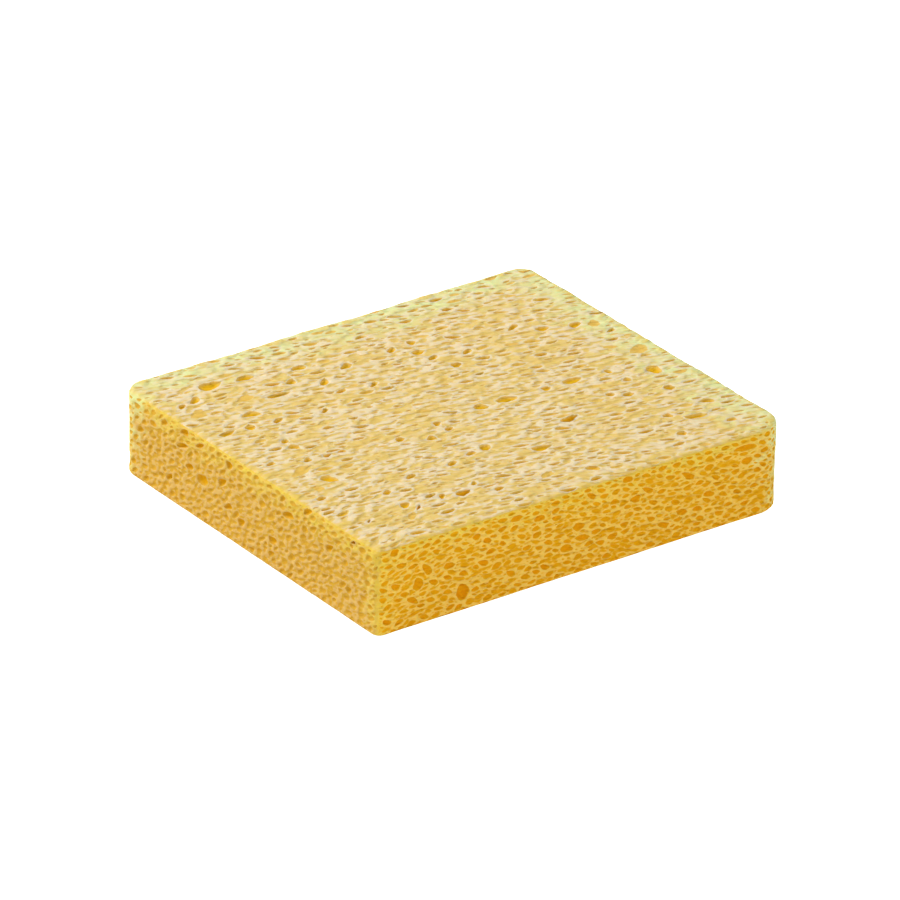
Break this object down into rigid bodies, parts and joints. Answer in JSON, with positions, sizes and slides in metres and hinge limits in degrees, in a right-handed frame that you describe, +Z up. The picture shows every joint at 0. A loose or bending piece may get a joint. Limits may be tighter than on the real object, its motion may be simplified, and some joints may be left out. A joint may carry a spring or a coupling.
{
  "type": "cleaning sponge",
  "caption": "Rectangular block of porous cellulose foam with pores drawn out along its grain, for wiping and washing surfaces.",
  "frame": {"origin": "middle of the underside", "axes": "+X along the grain of the pores, the longest way; +Y across the grain; +Z up, through the thickness"},
  "size_m": [0.114, 0.1, 0.021],
  "materials": {
    "foam": "matt open-celled cellulose foam, pale yellow on top and deeper yellow on the cut sides"
  },
  "bodies": {
    "root": {"sponge": "foam"}
  },
  "joints": []
}
